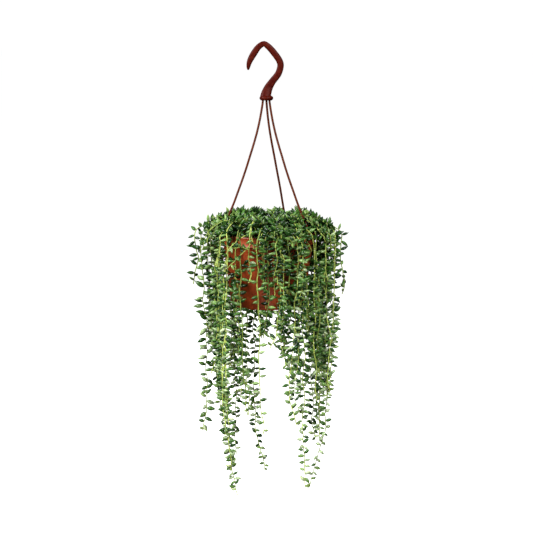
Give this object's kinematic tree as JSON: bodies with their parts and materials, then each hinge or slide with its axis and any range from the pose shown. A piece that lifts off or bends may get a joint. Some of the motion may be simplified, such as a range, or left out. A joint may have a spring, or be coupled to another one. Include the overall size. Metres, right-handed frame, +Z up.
{
  "type": "potted string of beads",
  "caption": "Round plastic pot on a hook with three slim hanger legs, holding a succulent whose leafy stems arch over the rim and trail far below it.",
  "frame": {"origin": "the point on the inside of the hook's crown that rests on the rail or ceiling hook which carries it", "axes": "+Z up; the hook lies in the XZ plane with its open side towards -X; -Y is the side the picture shows"},
  "size_m": [0.2391, 0.199, 0.6716],
  "materials": {
    "hanger_plastic": "moulded, satin dark red-brown",
    "terracotta_plastic": "moulded, satin terracotta",
    "potting_soil": "dark crumbly soil",
    "succulent": "waxy blue-green leaves on pale stems"
  },
  "bodies": {
    "root": {"hook": "hanger_plastic", "hanger_leg_left": "hanger_plastic", "hanger_leg_back": "hanger_plastic", "hanger_leg_right": "hanger_plastic", "pot": "terracotta_plastic", "soil": "potting_soil", "crown_shoot_1": "succulent", "crown_shoot_2": "succulent", "crown_shoot_3": "succulent", "crown_shoot_4": "succulent", "crown_shoot_5": "succulent", "crown_shoot_6": "succulent", "trailing_stem_01": "succulent", "trailing_stem_02": "succulent", "trailing_stem_03": "succulent", "trailing_stem_04": "succulent", "trailing_stem_05": "succulent", "trailing_stem_06": "succulent", "trailing_stem_07": "succulent", "trailing_stem_08": "succulent", "trailing_stem_09": "succulent", "trailing_stem_10": "succulent", "trailing_stem_11": "succulent", "trailing_stem_12": "succulent", "trailing_stem_13": "succulent", "trailing_stem_14": "succulent", "trailing_stem_15": "succulent", "trailing_stem_16": "succulent", "trailing_stem_17": "succulent", "trailing_stem_18": "succulent", "trailing_stem_19": "succulent", "trailing_stem_20": "succulent", "trailing_stem_21": "succulent", "trailing_stem_22": "succulent", "trailing_stem_23": "succulent", "trailing_stem_24": "succulent", "trailing_stem_25": "succulent", "trailing_stem_26": "succulent", "trailing_stem_27": "succulent", "trailing_stem_28": "succulent", "trailing_stem_29": "succulent", "trailing_stem_30": "succulent", "trailing_stem_31": "succulent", "trailing_stem_32": "succulent", "trailing_stem_33": "succulent", "trailing_stem_34": "succulent", "trailing_stem_35": "succulent", "trailing_stem_36": "succulent", "trailing_stem_37": "succulent", "trailing_stem_38": "succulent", "trailing_stem_39": "succulent", "trailing_stem_40": "succulent"}
  },
  "joints": []
}
